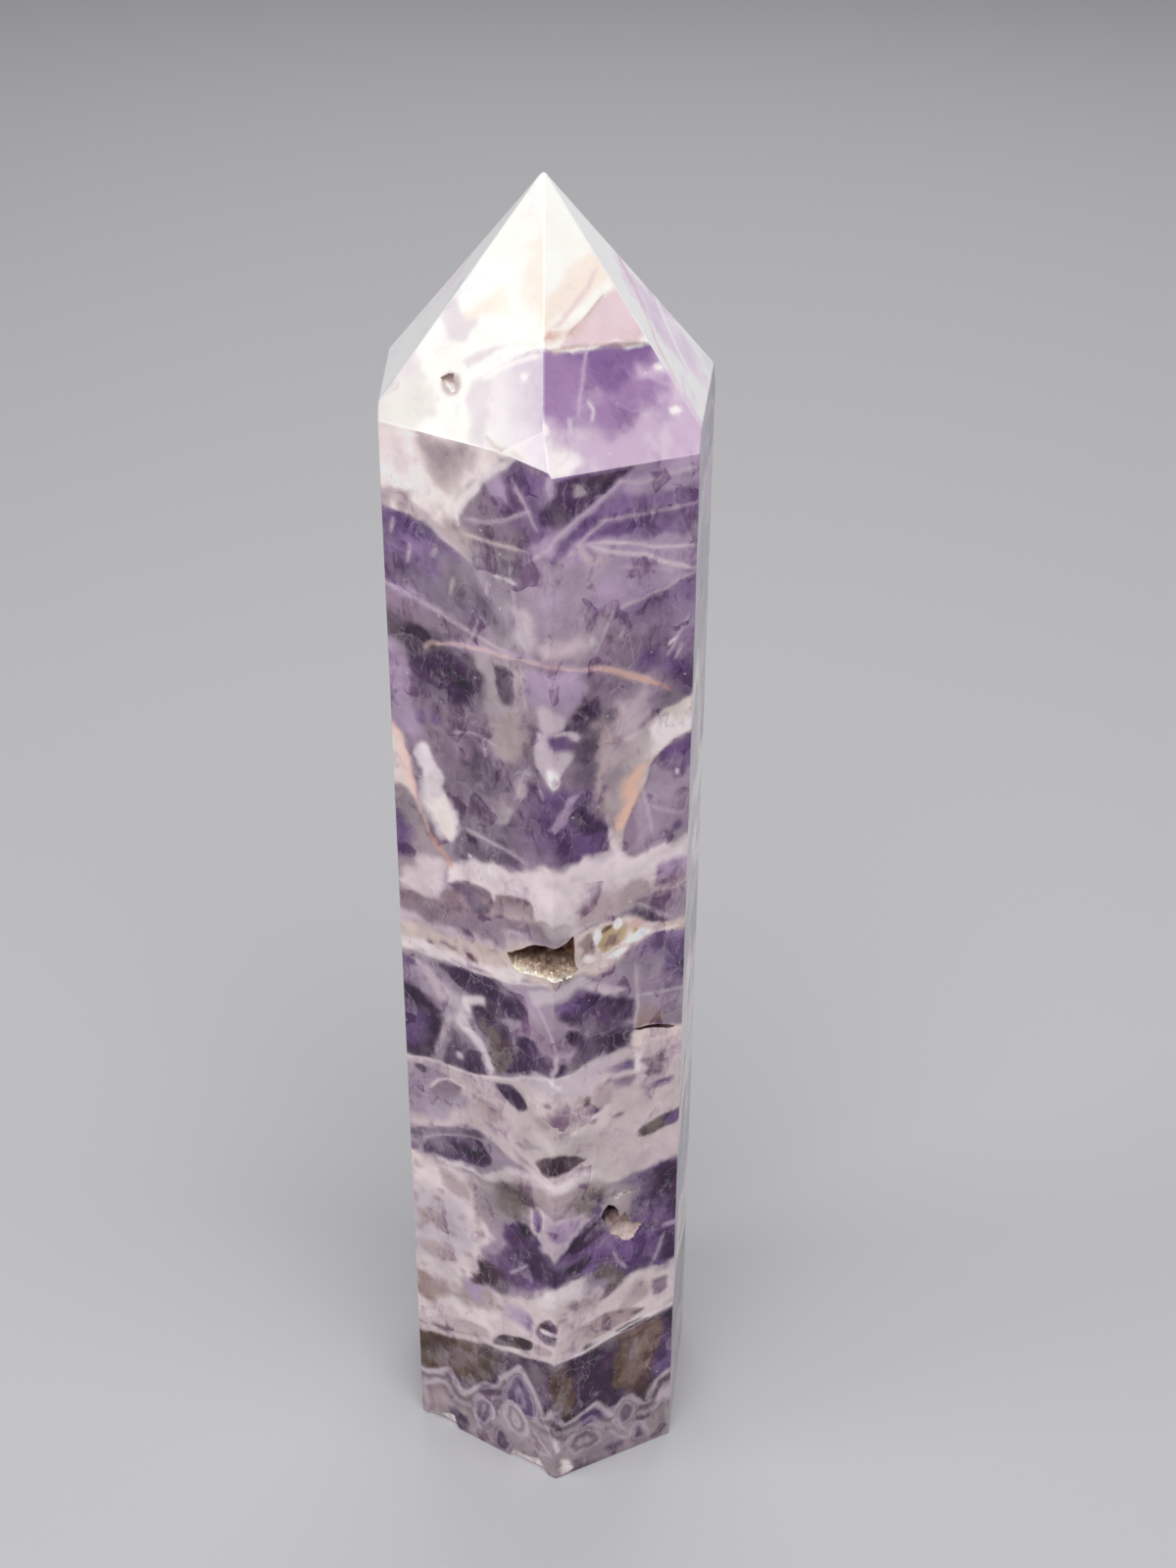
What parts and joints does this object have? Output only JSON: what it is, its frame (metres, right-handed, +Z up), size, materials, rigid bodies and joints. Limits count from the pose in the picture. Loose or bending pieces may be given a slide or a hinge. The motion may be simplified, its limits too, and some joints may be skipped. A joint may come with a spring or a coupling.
{
  "type": "polished amethyst tower",
  "caption": "Polished banded amethyst stone: a hexagonal column on a flat base, ground to a faceted point, with a small crystal-lined pocket on its front edge.",
  "frame": {"origin": "middle of the base's outline, on the surface that the stone stands on", "axes": "+Z up through the point, -Y towards the front edge"},
  "size_m": [0.0426, 0.0466, 0.1997],
  "materials": {
    "amethyst": "polished chevron amethyst and milky quartz, opaque to faintly translucent, with rust and smoky bands"
  },
  "bodies": {
    "root": {"amethyst_tower": "amethyst"}
  },
  "joints": []
}
